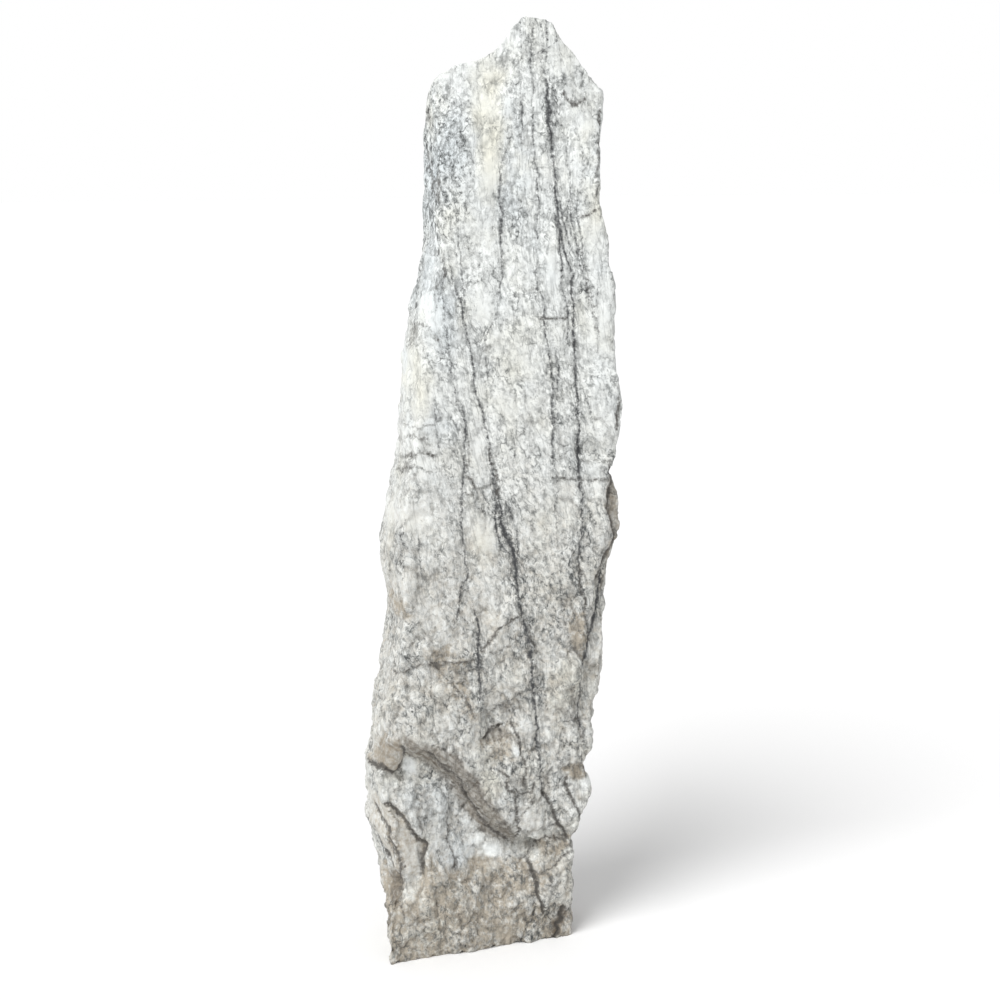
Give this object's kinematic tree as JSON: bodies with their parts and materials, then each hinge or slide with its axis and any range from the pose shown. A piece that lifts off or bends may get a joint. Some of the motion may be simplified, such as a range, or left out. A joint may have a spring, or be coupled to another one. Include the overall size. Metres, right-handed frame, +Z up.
{
  "type": "marble block",
  "caption": "Tall rough-split standing stone of white marble with upright grey veins, ledges low on its front and a flat cut foot.",
  "frame": {"origin": "bottom centre of the stone's bounding box, on the flat cut foot", "axes": "+Z up along the height, -Y the veined front face, +X to the right seen from the front"},
  "size_m": [0.481, 0.2216, 1.7523],
  "materials": {
    "marble": "rough-split marble, matt and weathered"
  },
  "bodies": {
    "root": {"marble_block": "marble"}
  },
  "joints": []
}
